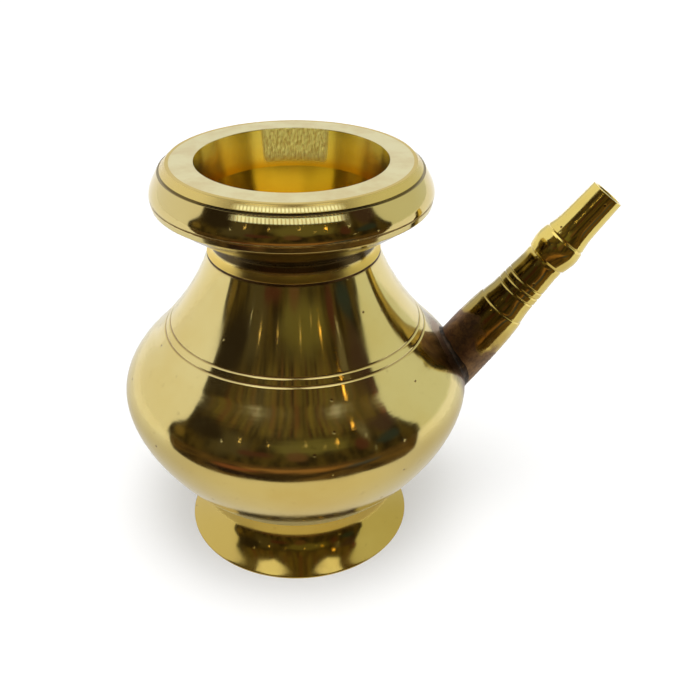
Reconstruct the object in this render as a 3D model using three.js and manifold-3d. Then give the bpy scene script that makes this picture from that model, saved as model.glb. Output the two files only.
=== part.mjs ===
// A South Asian brass ritual pitcher (karuwa): a small pot on a flared foot, with a heavy flat mouth ring and
// a tapered pouring spout. Its castings are turned on a lathe, register on steps and spigots, and are brazed.
// Millimetres, +Z up. The pot stands on z = 0 and the spout points along +X. The origin is the middle of the
// pitcher's outline on the floor, so the pot's own axis lies a little behind it.
import * as THREE from "three";
import { mergeVertices } from "three/addons/utils/BufferGeometryUtils.js";
import Module from "manifold-3d";

const wasm = await Module();
wasm.setup();

const vec = (r, z) => new THREE.Vector2(r, z);

// Driving dimensions of the pot

const HEIGHT = 110; // floor to the flat face of the mouth ring
const WALL = 2.4; // thickness of the cast shell
const POT_SIDES = 48;

const FOOT_RADIUS = 32.1;
const FOOT_EDGE = 0.9; // upright edge of the flare
const FOOT_RIM = 3.4; // width of the flat that the pitcher stands on
const FOOT_TOP = 13.3; // where the pot sits on the foot
const WAIST_RADIUS = 23.6;
const BELLY_RADIUS = 46.9;
const BELLY_HEIGHT = 46.6; // height of the widest circle
const POT_FLOOR = 2.3; // thickness of the pot's floor
const FLOOR_RADIUS = 19; // flat of the pot's floor inside
const BELLY_SEAM = 36.5; // where the bowl meets the shoulder, below the spout's root
const SEAM_LAP = 2.2; // height of the step that registers the two halves
const SHOULDER_LINES = [65.1, 66.8]; // the two incised lines
const INCISED_WIDTH = 0.8;
const INCISED_DEPTH = 0.35;

const COLLAR_HEIGHT = 86; // where the neck sits on the shoulder
const COLLAR_RADIUS = 22.4;
const COVE_RADIUS = 21.2; // narrowest circle of the collar's cove
const THROAT_RADIUS = 19.3; // narrowest point of the mouth passage
const THROAT_TOP = 87.5; // where the tapered bore reaches it
const BORE_BEND = [20.3, 91.2]; // where the bore draws in more, behind the cove
const SPIGOT_RADIUS = 20.6; // the neck's spigot in the shoulder
const SPIGOT_DEPTH = 3.3;
const CREASE_HEIGHT = 90.5; // where the neck turns out into the flange
const LIP_HEIGHT = 99.7; // lower edge of the flange's lip
const RING_SEAT = 101.8; // where the mouth ring sits on the flange
const RING_RADIUS = 35.4;
const RING_SPIGOT_RADIUS = 26; // step under the ring that centres it
const RING_SPIGOT_DEPTH = 1.9;
const SPIGOT_BORE = 22.5; // bore at the foot of that step
const BAND_TOP = [32.95, 108]; // upper end of the ring's rounded band
const BEVEL_FOOT = [32.35, 108.4]; // lower edge of its bevel, in a groove behind the band
const FLAT_RADIUS = 30.8; // outer edge of the ring's flat face
const MOUTH_RADIUS = 24.1; // bore at the flat face
const MOUTH_CHAMFER = 0.3;

// Driving dimensions of the spout. Its places are measured along its line from the pot's axis.

const SPOUT_RISE = THREE.MathUtils.degToRad(52.7); // above the horizontal
const SPOUT_CROSSING = -6.5; // height at which its line crosses the pot's axis
const SPOUT_SIDES = 24;
const ROOT_RADIUS = 7.9;
const STEP_PLACE = 92.6; // top of the thicker root stretch
const SPOUT_RINGS = [98.7, 100.8, 102.7]; // the three incised rings
const KNOP_START = 110.3;
const KNOP_END = 117.6;
const KNOP_RADIUS = 6.4;
const SPOUT_END = 133.2;
const TIP_RADIUS = 4.6;
const ROOT_BORE = 5.8;
const TIP_BORE = 3.6;
const POUR_HOLE = 5.3; // radius of the hole through the shoulder
const JOINT_GAP = 0.3; // left round the spout, which is cut to the pot
const FILLET_SPREAD = 1.8; // reach of the brazing metal on the pot, above the spout
const FILLET_RISE = 4; // and up the spout
const LOWER_SPREAD = 0.8; // both below the spout, where the pot falls away
const LOWER_RISE = 8;

// The pot's outer line, from the foot up to the collar

const bezier = (...points) => new THREE.CubicBezierCurve(...points.map(([r, z]) => vec(r, z)));
const widest = [BELLY_RADIUS, BELLY_HEIGHT];
const turning = [37.6, 61.8]; // where the shoulder's curve turns hollow
const potLine = new THREE.CurvePath();
potLine.add(bezier([WAIST_RADIUS, FOOT_TOP], [33, 17.5], [BELLY_RADIUS, 36], widest));
potLine.add(bezier(widest, [BELLY_RADIUS, 53.9], [39.6, 59.6], turning));
potLine.add(bezier(turning, [32.3, 67.8], [26.1, 75.6], [COLLAR_RADIUS - 0.1, COLLAR_HEIGHT]));
const potPoints = potLine.getSpacedPoints(300);

function radiusAt(height) {
  const above = potPoints.findIndex((p) => p.y >= height);
  const [a, b] = [potPoints[above - 1], potPoints[above]];
  return a.x + ((b.x - a.x) * (height - a.y)) / (b.y - a.y);
}

// Outlines. Each runs up the outside and down the inside of its piece, as (radius, height).

// The point of a rising line at a height, sunk below the surface by a depth.
function pointOn(line, height, depth = 0) {
  let [low, high] = [0, 1];
  while (high - low > 1e-7) {
    const middle = (low + high) / 2;
    if (line.getPoint(middle).y < height) low = middle;
    else high = middle;
  }
  const tangent = line.getTangent(low);
  return line.getPoint(low).add(vec(-tangent.y, tangent.x).multiplyScalar(depth));
}

function stretch(line, low, high, steps, depth = 0) {
  return Array.from({ length: steps + 1 }, (_, i) => pointOn(line, low + ((high - low) * i) / steps, depth));
}

function incised(line, height, width = INCISED_WIDTH, depth = INCISED_DEPTH) {
  return [
    pointOn(line, height - width / 2),
    pointOn(line, height, depth),
    pointOn(line, height + width / 2),
  ];
}

// Solids

function turn(outline, sides = POT_SIDES) {
  const closed = outline[0].x === 0 ? outline : [...outline, outline[0]];
  return new THREE.LatheGeometry(closed, sides).rotateX(Math.PI / 2);
}

function solidOf(geometry) {
  const bare = geometry.clone();
  bare.deleteAttribute("normal");
  bare.deleteAttribute("uv");
  const merged = mergeVertices(bare, 1e-4);
  const vertProperties = new Float32Array(merged.getAttribute("position").array);
  const triVerts = new Uint32Array(merged.index.array);
  return new wasm.Manifold(new wasm.Mesh({ numProp: 3, vertProperties, triVerts }));
}

function geometryOf(solid) {
  const mesh = solid.getMesh();
  const geometry = new THREE.BufferGeometry();
  geometry.setAttribute("position", new THREE.BufferAttribute(mesh.vertProperties, 3));
  geometry.setIndex(new THREE.BufferAttribute(mesh.triVerts, 1));
  geometry.computeVertexNormals();
  return geometry;
}

const brass = (color, roughness) => new THREE.MeshStandardMaterial({ color, roughness, metalness: 1 });
const polished = () => brass(0xcfb35c, 0.15);
const faced = () => brass(0xd8cb95, 0.32);
const brazed = () => brass(0x4a3526, 0.6);

function piece(name, geometry, material) {
  const mesh = new THREE.Mesh(geometry, material);
  mesh.name = name;
  return mesh;
}

// Brazed grooves between the turned pieces: a root and two lips, which the pieces and the seam share

const joint = (root, lower, upper) => ({ root, lower, upper });
const footJoint = joint(
  vec(WAIST_RADIUS - 0.7, FOOT_TOP),
  vec(WAIST_RADIUS - 0.1, FOOT_TOP - 0.6),
  pointOn(potLine, FOOT_TOP + 0.4),
);
const collarJoint = joint(
  vec(COLLAR_RADIUS - 0.7, COLLAR_HEIGHT),
  pointOn(potLine, COLLAR_HEIGHT - 0.35),
  vec(COLLAR_RADIUS, COLLAR_HEIGHT + 0.3),
);
const ringJoint = joint(
  vec(RING_RADIUS - 0.6, RING_SEAT),
  vec(RING_RADIUS - 0.1, RING_SEAT - 0.35),
  vec(RING_RADIUS, RING_SEAT + 0.35),
);
const bellyJoint = joint(
  pointOn(potLine, BELLY_SEAM + SEAM_LAP, WALL - 0.6),
  pointOn(potLine, BELLY_SEAM + SEAM_LAP - 0.6, WALL),
  pointOn(potLine, BELLY_SEAM + SEAM_LAP + 0.6, WALL),
);

const outerSeam = ({ root, lower, upper }) => turn([root, lower, upper]);
const innerSeam = ({ root, lower, upper }) => turn([root, upper, lower]);

// Turned castings

function foot() {
  const inner = FOOT_RADIUS - FOOT_RIM - 0.4;
  const flare = bezier(
    [FOOT_RADIUS - 0.3, FOOT_EDGE + 0.5],
    [28.4, 3.2],
    [24, 6.2],
    [footJoint.lower.x, footJoint.lower.y],
  );
  const hollow = bezier([WAIST_RADIUS - 3.2, FOOT_TOP], [20.8, 7.5], [24.4, 2.6], [inner, 0]);
  return turn([
    vec(FOOT_RADIUS - 0.4, 0),
    vec(FOOT_RADIUS, 0.4),
    vec(FOOT_RADIUS, FOOT_EDGE),
    ...flare.getPoints(7),
    footJoint.root,
    ...hollow.getPoints(4),
  ]);
}

function bellyBowl() {
  const floor = FOOT_TOP + POT_FLOOR;
  return turn([
    vec(0, FOOT_TOP),
    footJoint.root,
    ...stretch(potLine, footJoint.upper.y, BELLY_SEAM, 10),
    pointOn(potLine, BELLY_SEAM, WALL / 2),
    pointOn(potLine, BELLY_SEAM + SEAM_LAP, WALL / 2),
    bellyJoint.root,
    bellyJoint.lower,
    ...stretch(potLine, BELLY_SEAM - 1, FOOT_TOP + 1.8, 6, WALL),
    vec(FLOOR_RADIUS, floor),
    vec(0, floor),
  ]);
}

function shoulder() {
  const [lowLine, highLine] = SHOULDER_LINES;
  const half = INCISED_WIDTH / 2;
  const shell = turn([
    ...stretch(potLine, BELLY_SEAM, lowLine - half, 10).slice(0, -1),
    ...incised(potLine, lowLine),
    ...incised(potLine, highLine),
    ...stretch(potLine, highLine + half, collarJoint.lower.y, 5).slice(1),
    collarJoint.root,
    vec(SPIGOT_RADIUS, COLLAR_HEIGHT),
    vec(SPIGOT_RADIUS, COLLAR_HEIGHT - SPIGOT_DEPTH),
    ...stretch(potLine, COLLAR_HEIGHT - SPIGOT_DEPTH - 1, BELLY_SEAM + SEAM_LAP + 2, 6, WALL),
    bellyJoint.upper,
    bellyJoint.root,
    pointOn(potLine, BELLY_SEAM + SEAM_LAP, WALL / 2),
    pointOn(potLine, BELLY_SEAM, WALL / 2),
  ]);
  const [inside, outside] = [50, 88]; // where the drill starts and ends on the spout's line
  const drill = turn(
    [vec(0, inside), vec(POUR_HOLE, inside), vec(POUR_HOLE, outside), vec(0, outside)],
    SPOUT_SIDES,
  );
  return geometryOf(solidOf(shell).subtract(solidOf(drill.applyMatrix4(spout.matrix))));
}

function neck() {
  const cove = bezier(
    [COLLAR_RADIUS, COLLAR_HEIGHT + 0.5],
    [COVE_RADIUS + 0.2, COLLAR_HEIGHT + 1.2],
    [COVE_RADIUS, COLLAR_HEIGHT + 2.4],
    [COVE_RADIUS, CREASE_HEIGHT - 0.7],
  );
  const flange = bezier([22.4, CREASE_HEIGHT + 0.8], [26, 93.3], [30, 96.4], [RING_RADIUS - 1, LIP_HEIGHT]);
  return turn([
    vec(THROAT_RADIUS, COLLAR_HEIGHT - SPIGOT_DEPTH),
    vec(SPIGOT_RADIUS, COLLAR_HEIGHT - SPIGOT_DEPTH),
    vec(SPIGOT_RADIUS, COLLAR_HEIGHT),
    collarJoint.root,
    collarJoint.upper,
    ...cove.getPoints(3),
    vec(COVE_RADIUS + 0.2, CREASE_HEIGHT + 0.2),
    ...flange.getPoints(3),
    vec(RING_RADIUS - 0.3, LIP_HEIGHT + 0.4),
    vec(RING_RADIUS - 0.1, LIP_HEIGHT + 0.9),
    ringJoint.lower,
    ringJoint.root,
    vec(RING_SPIGOT_RADIUS, RING_SEAT),
    vec(RING_SPIGOT_RADIUS, RING_SEAT - RING_SPIGOT_DEPTH),
    vec(SPIGOT_BORE, RING_SEAT - RING_SPIGOT_DEPTH),
    vec(...BORE_BEND),
    vec(THROAT_RADIUS, THROAT_TOP),
  ]);
}

function mouthRing() {
  const band = bezier([RING_RADIUS, 102.6], [35.2, 104.2], [34.2, 105.9], BAND_TOP);
  return turn([
    vec(SPIGOT_BORE, RING_SEAT - RING_SPIGOT_DEPTH),
    vec(RING_SPIGOT_RADIUS, RING_SEAT - RING_SPIGOT_DEPTH),
    vec(RING_SPIGOT_RADIUS, RING_SEAT),
    ringJoint.root,
    ringJoint.upper,
    ...band.getPoints(6),
    vec(BEVEL_FOOT[0], BAND_TOP[1]),
    vec(...BEVEL_FOOT),
    vec(FLAT_RADIUS, HEIGHT),
    vec(MOUTH_RADIUS + MOUTH_CHAMFER, HEIGHT),
    vec(MOUTH_RADIUS, HEIGHT - MOUTH_CHAMFER),
  ]);
}

// The spout, along +Z of its own frame

const spout = new THREE.Group();
spout.position.z = SPOUT_CROSSING;
spout.rotation.y = Math.PI / 2 - SPOUT_RISE;
spout.updateMatrix();
const inSpout = (geometry) => geometry.applyMatrix4(spout.matrix.clone().invert());

// The pot as a plain solid in the spout's frame, grown by the joint's gap.
function potForCutting() {
  const side = stretch(potLine, FOOT_TOP + 0.1, COLLAR_HEIGHT - 0.1, 30, -JOINT_GAP);
  return solidOf(inSpout(turn([vec(0, side[0].y), ...side, vec(0, side.at(-1).y)])));
}

// How far along the spout's line a parallel line, set off from it by x and y, comes out of the pot.
function saddle(x, y) {
  const { sin, cos } = Math;
  const tilt = spout.rotation.y;
  let [inside, outside] = [42, 95];
  while (outside - inside > 1e-4) {
    const middle = (inside + outside) / 2;
    const across = Math.hypot(middle * sin(tilt) + x * cos(tilt), y);
    const height = SPOUT_CROSSING + middle * cos(tilt) - x * sin(tilt);
    if (across < radiusAt(height)) inside = middle;
    else outside = middle;
  }
  return inside;
}

function spoutTube() {
  const root = new THREE.SplineCurve([
    vec(ROOT_RADIUS, 55),
    vec(ROOT_RADIUS - 0.05, 76),
    vec(ROOT_RADIUS - 0.25, 86),
    vec(ROOT_RADIUS - 0.85, STEP_PLACE),
  ]);
  const stem = new THREE.SplineCurve([
    vec(6.75, STEP_PLACE + 0.5),
    vec(6.2, 96.6),
    vec(5.95, 101.5),
    vec(5.5, 107.6),
    vec(5.6, KNOP_START),
  ]);
  const knop = new THREE.SplineCurve([
    vec(5.8, KNOP_START + 0.5),
    vec(KNOP_RADIUS - 0.15, 112.9),
    vec(KNOP_RADIUS, 114.9),
    vec(KNOP_RADIUS - 0.35, KNOP_END - 0.5),
  ]);
  const tip = new THREE.SplineCurve([
    vec(5.75, KNOP_END + 0.4),
    vec(5.15, 121),
    vec(4.85, 126.5),
    vec(TIP_RADIUS, SPOUT_END - 0.3),
  ]);
  const rings = SPOUT_RINGS.flatMap((place) => incised(stem, place, 0.7, 0.28));
  const tube = turn(
    [
      ...stretch(root, 56, STEP_PLACE - 0.1, 6),
      ...stretch(stem, STEP_PLACE + 0.6, SPOUT_RINGS[0] - 1, 3),
      ...rings,
      ...stretch(stem, SPOUT_RINGS.at(-1) + 1.5, KNOP_START - 0.4, 3),
      vec(5.35, KNOP_START),
      ...knop.getPoints(5),
      vec(5.6, KNOP_END),
      ...tip.getPoints(4),
      vec(TIP_RADIUS - 0.3, SPOUT_END),
      vec(TIP_BORE + 0.15, SPOUT_END),
      vec(TIP_BORE, SPOUT_END - 0.4),
      vec(TIP_BORE, 120),
      vec(4.4, 106),
      vec(5.4, 92),
      vec(ROOT_BORE, 84),
      vec(ROOT_BORE, 56),
    ],
    SPOUT_SIDES,
  );
  return geometryOf(solidOf(tube).subtract(potForCutting()));
}

// The fillet of brazing metal: a turned ring that is draped over the pot and then cut to it.
function spoutFillet() {
  const start = ROOT_RADIUS + JOINT_GAP;
  const sunk = -1; // below the pot's surface
  const ring = turn(
    [
      vec(start, sunk),
      vec(start + 1, sunk),
      vec(start + 1, 0),
      vec(start + 0.5, 0.22),
      vec(start + 0.2, 0.52),
      vec(start, 1),
    ],
    SPOUT_SIDES,
  );
  const places = ring.getAttribute("position");
  for (let i = 0; i < places.count; i++) {
    const [x, y, z] = [places.getX(i), places.getY(i), places.getZ(i)];
    const radius = Math.hypot(x, y);
    const below = (1 + x / radius) / 2;
    const spread = THREE.MathUtils.lerp(FILLET_SPREAD, LOWER_SPREAD, below);
    const rise = THREE.MathUtils.lerp(FILLET_RISE, LOWER_RISE, below);
    const reach = (start + (radius - start) * spread) / radius;
    places.setXYZ(i, x * reach, y * reach, saddle(x * reach, y * reach) + (z > 0 ? z * rise : z));
  }
  return geometryOf(solidOf(ring).subtract(potForCutting()));
}

// Assembly

const pitcher = new THREE.Group();
pitcher.add(
  piece("foot", foot(), polished()),
  piece("foot_seam", outerSeam(footJoint), brazed()),
  piece("belly_bowl", bellyBowl(), polished()),
  piece("belly_seam", innerSeam(bellyJoint), brazed()),
  piece("shoulder", shoulder(), polished()),
  piece("collar_seam", outerSeam(collarJoint), brazed()),
  piece("neck", neck(), polished()),
  piece("ring_seam", outerSeam(ringJoint), brazed()),
  piece("mouth_ring", mouthRing(), faced()),
  spout,
);
spout.add(piece("spout", spoutTube(), polished()), piece("spout_seam", spoutFillet(), brazed()));

const outline = new THREE.Box3().setFromObject(pitcher, true);
pitcher.position.x = -(outline.min.x + outline.max.x) / 2;

export default pitcher;
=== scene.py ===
import math
from bisect import bisect_left

import bmesh
import bpy
from mathutils import Matrix, Vector


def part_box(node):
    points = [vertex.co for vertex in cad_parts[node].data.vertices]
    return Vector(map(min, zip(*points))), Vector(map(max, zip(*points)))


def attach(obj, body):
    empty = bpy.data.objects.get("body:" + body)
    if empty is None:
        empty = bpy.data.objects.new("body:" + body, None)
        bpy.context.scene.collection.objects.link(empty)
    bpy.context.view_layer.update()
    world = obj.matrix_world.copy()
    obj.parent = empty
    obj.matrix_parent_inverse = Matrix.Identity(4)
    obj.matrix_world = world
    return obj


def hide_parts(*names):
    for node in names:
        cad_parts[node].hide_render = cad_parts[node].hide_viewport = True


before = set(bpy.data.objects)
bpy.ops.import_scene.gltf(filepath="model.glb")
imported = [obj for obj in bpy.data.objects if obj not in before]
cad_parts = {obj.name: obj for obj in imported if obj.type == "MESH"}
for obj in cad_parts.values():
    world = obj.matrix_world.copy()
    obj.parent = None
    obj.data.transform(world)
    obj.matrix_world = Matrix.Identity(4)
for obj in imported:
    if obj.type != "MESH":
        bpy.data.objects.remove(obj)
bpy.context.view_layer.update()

MM = 0.001

# Driving dimensions in millimetres, from the frame where it gives them. Zones are in degrees round the axis,
# counted from the spout's side.

ring_low, ring_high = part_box("mouth_ring")
foot_low, foot_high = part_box("foot")
AXIS = Vector(((ring_low.x + ring_high.x) / 2, 0, 0))
HEIGHT = ring_high.z / MM
RING_RADIUS = (ring_high.y - ring_low.y) / 2 / MM
FOOT_RADIUS = (foot_high.y - foot_low.y) / 2 / MM
FOOT_TOP = foot_high.z / MM
FOOT_EDGE = 0.5
FOOT_RIM = 3.8

WALL = 2.4
SIDES = 288
WAIST_RADIUS = 23.6
BELLY_RADIUS = 46.9
BELLY_HEIGHT = 46.6
BELLY_SEAM = 36.5
SEAM_TOP = BELLY_SEAM + 2.2
SHOULDER_LINES = (65.1, 66.8)
INCISED_WIDTH = 0.6
INCISED_DEPTH = 0.22
COLLAR_HEIGHT = 86.0
COLLAR_RADIUS = 22.4
THROAT_RADIUS = 19.3
THROAT_TOP = 87.5
SPIGOT_RADIUS = 20.6
SPIGOT_FOOT = COLLAR_HEIGHT - 3.3
CREASE_HEIGHT = 90.5
CREASE_RADIUS = 21.2
LIP_HEIGHT = 99.7
RING_SEAT = 101.8
RING_SPIGOT_RADIUS = 26.0
RING_FOOT = RING_SEAT - 1.9
SPIGOT_BORE = 22.8
FLAT_RADIUS = 30.8
MOUTH_RADIUS = 24.1
BAND_TOP = (32.95, 108.0)
BEVEL_FOOT = (32.35, 108.4)
BEAD_ZONE = (245, 291)
BEADS_ROUND = 238
BEAD_HEIGHT = 0.1
BEAD_TWIST = 0.6
BEAD_WAVER = 0.25
WAVERS_ROUND = 5
RIB_ZONE = (66, 109)
RIBS_ROUND = 150
RIBS_LOW = 100.9
RIB_HEIGHT = 0.09

SPOUT_TILT = math.pi / 2 - math.radians(52.7)
SPOUT_CROSSING = -6.5
SPOUT_SIDES = 144
ROOT_RADIUS = 7.9
STEP_PLACE = 92.6
SPOUT_RINGS = (98.7, 100.8, 102.7)
RING_WIDTH = 0.7
RING_DEPTH = 0.28
RING_MARGIN = 0.8
KNOP_START = 110.3
KNOP_END = 117.6
KNOP_RADIUS = 6.4
SPOUT_END = 133.2
TIP_RADIUS = 4.6
TIP_BORE = 3.6
ROOT_BORE = 5.8
POUR_HOLE = 5.3
DRILLED = (50.0, 88.0)
ROOT_START = 60.0
ROOT_BLEND = 84.0
ROOT_SINK = 0.25
FILLET_SINK = 0.1
SADDLE_SEARCH = (42.0, 95.0)

# How finely the meshes follow their outlines. Points closer than DOUBLED, in metres, become one.

CLOSE_STEP = 0.06
BEND_STEPS = 5
BEND_LEAD = 0.12
LARGEST_BEND = 0.45
SHARP_ANGLE = 38
DOUBLED = 1e-8

POT_FRAME = Matrix.Translation(AXIS)
SPOUT_FRAME = POT_FRAME @ Matrix.Translation((0, 0, SPOUT_CROSSING * MM))
SPOUT_FRAME @= Matrix.Rotation(SPOUT_TILT, 4, "Y")


def spaced(start, end, parts):
    """Evenly spaced values from start to end."""
    return [start + (end - start) * i / parts for i in range(parts + 1)]


def turns(count):
    """Angles evenly spaced round a full turn."""
    return [2 * math.pi * k / count for k in range(count)]


# Outlines. A point is (radius, height), or (radius, height, size) for a corner rounded to that size.


def cubic(a, b, c, d, steps):
    """Points on a cubic Bezier curve."""
    points = []
    for t in spaced(0, 1, steps):
        u = 1 - t
        weights = (u**3, 3 * u * u * t, 3 * u * t * t, t**3)
        points.append(tuple(sum(w * p[k] for w, p in zip(weights, (a, b, c, d))) for k in (0, 1)))
    return points


def spline(knots, steps):
    """Points on a smooth curve through the knots."""
    knots = [Vector(knot) for knot in (knots[0], *knots, knots[-1])]
    points = []
    for a, b, c, d in zip(knots, knots[1:], knots[2:], knots[3:]):
        speed = (c - a) / 2
        bending = a - b * 2.5 + c * 2 - d / 2
        turning = (b - c) * 1.5 + (d - a) / 2
        points += [b + speed * t + bending * t * t + turning * t**3 for t in spaced(0, 1, steps)[:-1]]
    return [*points, knots[-1]]


def bend(start, corner, end, t):
    """A point on the soft bend that a corner pulls a straight line into."""
    return start * (1 - t) ** 2 + corner * 2 * t * (1 - t) + end * t * t


def rounded(outline):
    """The closed outline with its marked corners rounded, and a point close to each end of a bend."""
    points = []
    for i, point in enumerate(outline):
        corner = Vector(point[:2])
        if len(point) == 2:
            points.append(corner)
            continue
        before = Vector(outline[i - 1][:2]) - corner
        after = Vector(outline[(i + 1) % len(outline)][:2]) - corner
        size = min(point[2], before.length * LARGEST_BEND, after.length * LARGEST_BEND)
        start = corner + before.normalized() * size
        end = corner + after.normalized() * size
        lead = min(size, BEND_LEAD)
        if before.length > size * 3:
            points.append(start + before.normalized() * lead)
        points += [bend(start, corner, end, t) for t in spaced(0, 1, BEND_STEPS)]
        if after.length > size * 3:
            points.append(end + after.normalized() * lead)
    return points


TURNING = (37.6, 61.8)
LINE_STEPS = 300
POT_LINE = (
    cubic((WAIST_RADIUS, FOOT_TOP), (33, 17.5), (BELLY_RADIUS, 36), (BELLY_RADIUS, BELLY_HEIGHT), LINE_STEPS)
    + cubic((BELLY_RADIUS, BELLY_HEIGHT), (BELLY_RADIUS, 53.9), (39.6, 59.6), TURNING, LINE_STEPS)[1:]
    + cubic(TURNING, (32.3, 67.8), (26.1, 75.6), (COLLAR_RADIUS - 0.1, COLLAR_HEIGHT), LINE_STEPS)[1:]
)


def segment(points, place):
    """The two neighbours on a rising line of points between which a height lies."""
    i = min(max(bisect_left(points, place, key=lambda point: point[1]), 1), len(points) - 1)
    return Vector(points[i - 1]), Vector(points[i])


def pot_point(height, depth=0.0):
    """The point of the pot's outer line at a height, sunk below the surface by a depth."""
    a, b = segment(POT_LINE, height)
    along = b - a
    on_line = a + along * ((height - a.y) / along.y)
    return on_line + Vector((-along.y, along.x)).normalized() * depth


def stretch(low, high, steps, depth=0.0):
    """The pot's line between two heights, with close points at both ends so that pieces meet smoothly."""
    close = math.copysign(CLOSE_STEP, high - low)
    heights = spaced(low, high, steps)
    heights.insert(1, low + close)
    heights.insert(-1, high - close)
    return [pot_point(height, depth) for height in heights]


def incised(line, place, width, depth):
    """A V-shaped line cut into an outline, given the function from a place to the outline's point."""
    half = width / 2
    root = line(place) - Vector((depth, 0))
    return [(*line(place - half), 0.12), (*root, 0.1), (*line(place + half), 0.12)]


def between(knots):
    """The function from a place to the point of a smooth curve through the knots."""
    points = spline(knots, 40)

    def at(place):
        a, b = segment(points, place)
        return a.lerp(b, (place - a.y) / (b.y - a.y))

    return at


# Meshes


def finished(mesh, node, material, place=POT_FRAME):
    """The object of a finished mesh: smooth, in place, and standing for its CAD node."""
    mesh.transform(place)
    mesh.polygons.foreach_set("use_smooth", [True] * len(mesh.polygons))
    mesh.set_sharp_from_angle(angle=math.radians(SHARP_ANGLE))
    mesh.materials.append(material)
    piece = bpy.data.objects.new(mesh.name, mesh)
    bpy.context.scene.collection.objects.link(piece)
    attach(piece, "root")
    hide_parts(node)
    return piece


def skin(name, rows):
    """A closed mesh over rows of points that run round an axis. A row of one point is a pole."""
    corners = [point for row in rows for point in row]
    starts = [0]
    for row in rows:
        starts.append(starts[-1] + len(row))
    faces = []
    for i in range(len(rows)):
        j = (i + 1) % len(rows)
        a, b = starts[i], starts[j]
        low, high = len(rows[i]), len(rows[j])
        for k in range(max(low, high)):
            n = (k + 1) % max(low, high)
            face = list(dict.fromkeys((a + k % low, a + n % low, b + n % high, b + k % high)))
            if len(face) > 2:
                faces.append(face)
    mesh = bpy.data.meshes.new(name)
    mesh.from_pydata([tuple(Vector(corner) * MM) for corner in corners], [], faces)
    return outward(mesh)


def outward(mesh):
    """The mesh with doubled points joined and every face turned outward."""
    work = bmesh.new()
    work.from_mesh(mesh)
    bmesh.ops.remove_doubles(work, verts=work.verts, dist=DOUBLED)
    bmesh.ops.recalc_face_normals(work, faces=work.faces)
    work.to_mesh(mesh)
    work.free()
    return mesh


def ring_of(radius, height, sides):
    """A row of points round the axis, or one point on it."""
    if radius == 0:
        return [(0, 0, height)]
    return [(radius * math.cos(angle), radius * math.sin(angle), height) for angle in turns(sides)]


def turned(name, outline):
    return skin(name, [ring_of(*point, SIDES) for point in rounded(outline)])


# Grooves between the castings, each with a root and two lips. The brazing metal in them is hollowed by a
# share of their depth.

FOOT_JOINT = ((WAIST_RADIUS - 0.7, FOOT_TOP), (WAIST_RADIUS - 0.1, FOOT_TOP - 0.6), pot_point(FOOT_TOP + 0.4))
COLLAR_LIP = (COLLAR_RADIUS, COLLAR_HEIGHT + 0.3)
COLLAR_JOINT = ((COLLAR_RADIUS - 0.7, COLLAR_HEIGHT), pot_point(COLLAR_HEIGHT - 0.35), COLLAR_LIP)
RING_LIP = (RING_RADIUS, RING_SEAT + 0.2)
RING_JOINT = ((RING_RADIUS - 0.6, RING_SEAT), (RING_RADIUS - 0.1, RING_SEAT - 0.18), RING_LIP)
BELLY_JOINT = (
    pot_point(SEAM_TOP, WALL - 0.6),
    pot_point(SEAM_TOP - 0.6, WALL),
    pot_point(SEAM_TOP + 0.6, WALL),
)
BRAZE_HOLLOW = 0.35


def braze_outline(joint):
    root, lower, upper = (Vector(point) for point in joint)
    middle = (lower + upper) / 2
    hollow = middle.lerp(root, BRAZE_HOLLOW)
    return [root, *(bend(lower, hollow, upper, t) for t in spaced(0, 1, 4))]


def foot_outline():
    inner = FOOT_RADIUS - FOOT_RIM
    root, lip, _ = FOOT_JOINT
    flare = cubic((FOOT_RADIUS - 0.35, FOOT_EDGE + 0.25), (28.4, 3.1), (23.6, 5.6), lip, 48)
    hollow = cubic((WAIST_RADIUS - 3.2, FOOT_TOP), (20.8, 7.5), (24.4, 2.6), (inner, 0), 24)
    return [
        (inner, 0, 0.3),
        (FOOT_RADIUS - 0.1, 0, 0.35),
        (FOOT_RADIUS, FOOT_EDGE, 0.3),
        *flare,
        root,
        *hollow[:-1],
    ]


def belly_outline():
    root, _, lip = FOOT_JOINT
    joint_root, joint_lip, _ = BELLY_JOINT
    floor = FOOT_TOP + 2.3
    return [
        (0, FOOT_TOP),
        root,
        *stretch(lip[1], BELLY_SEAM, 70),
        pot_point(BELLY_SEAM, WALL / 2),
        pot_point(SEAM_TOP, WALL / 2),
        joint_root,
        joint_lip,
        *stretch(BELLY_SEAM - 1, FOOT_TOP + 1.8, 40, WALL),
        (19, floor, 2),
        (0, floor),
    ]


def shoulder_outline():
    low_line, high_line = SHOULDER_LINES
    below = INCISED_WIDTH / 2 + 0.15
    beside = INCISED_WIDTH / 2 + 0.2
    root, lip, _ = COLLAR_JOINT
    joint_root, _, joint_lip = BELLY_JOINT
    return [
        *stretch(BELLY_SEAM, low_line - below, 90),
        *incised(pot_point, low_line, INCISED_WIDTH, INCISED_DEPTH),
        pot_point(low_line + beside),
        pot_point(high_line - beside),
        *incised(pot_point, high_line, INCISED_WIDTH, INCISED_DEPTH),
        *stretch(high_line + below, lip[1], 60),
        root,
        (SPIGOT_RADIUS, COLLAR_HEIGHT),
        (SPIGOT_RADIUS, SPIGOT_FOOT),
        *stretch(SPIGOT_FOOT - 1, SEAM_TOP + 2, 50, WALL),
        joint_lip,
        joint_root,
        pot_point(SEAM_TOP, WALL / 2),
        pot_point(BELLY_SEAM, WALL / 2),
    ]


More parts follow.
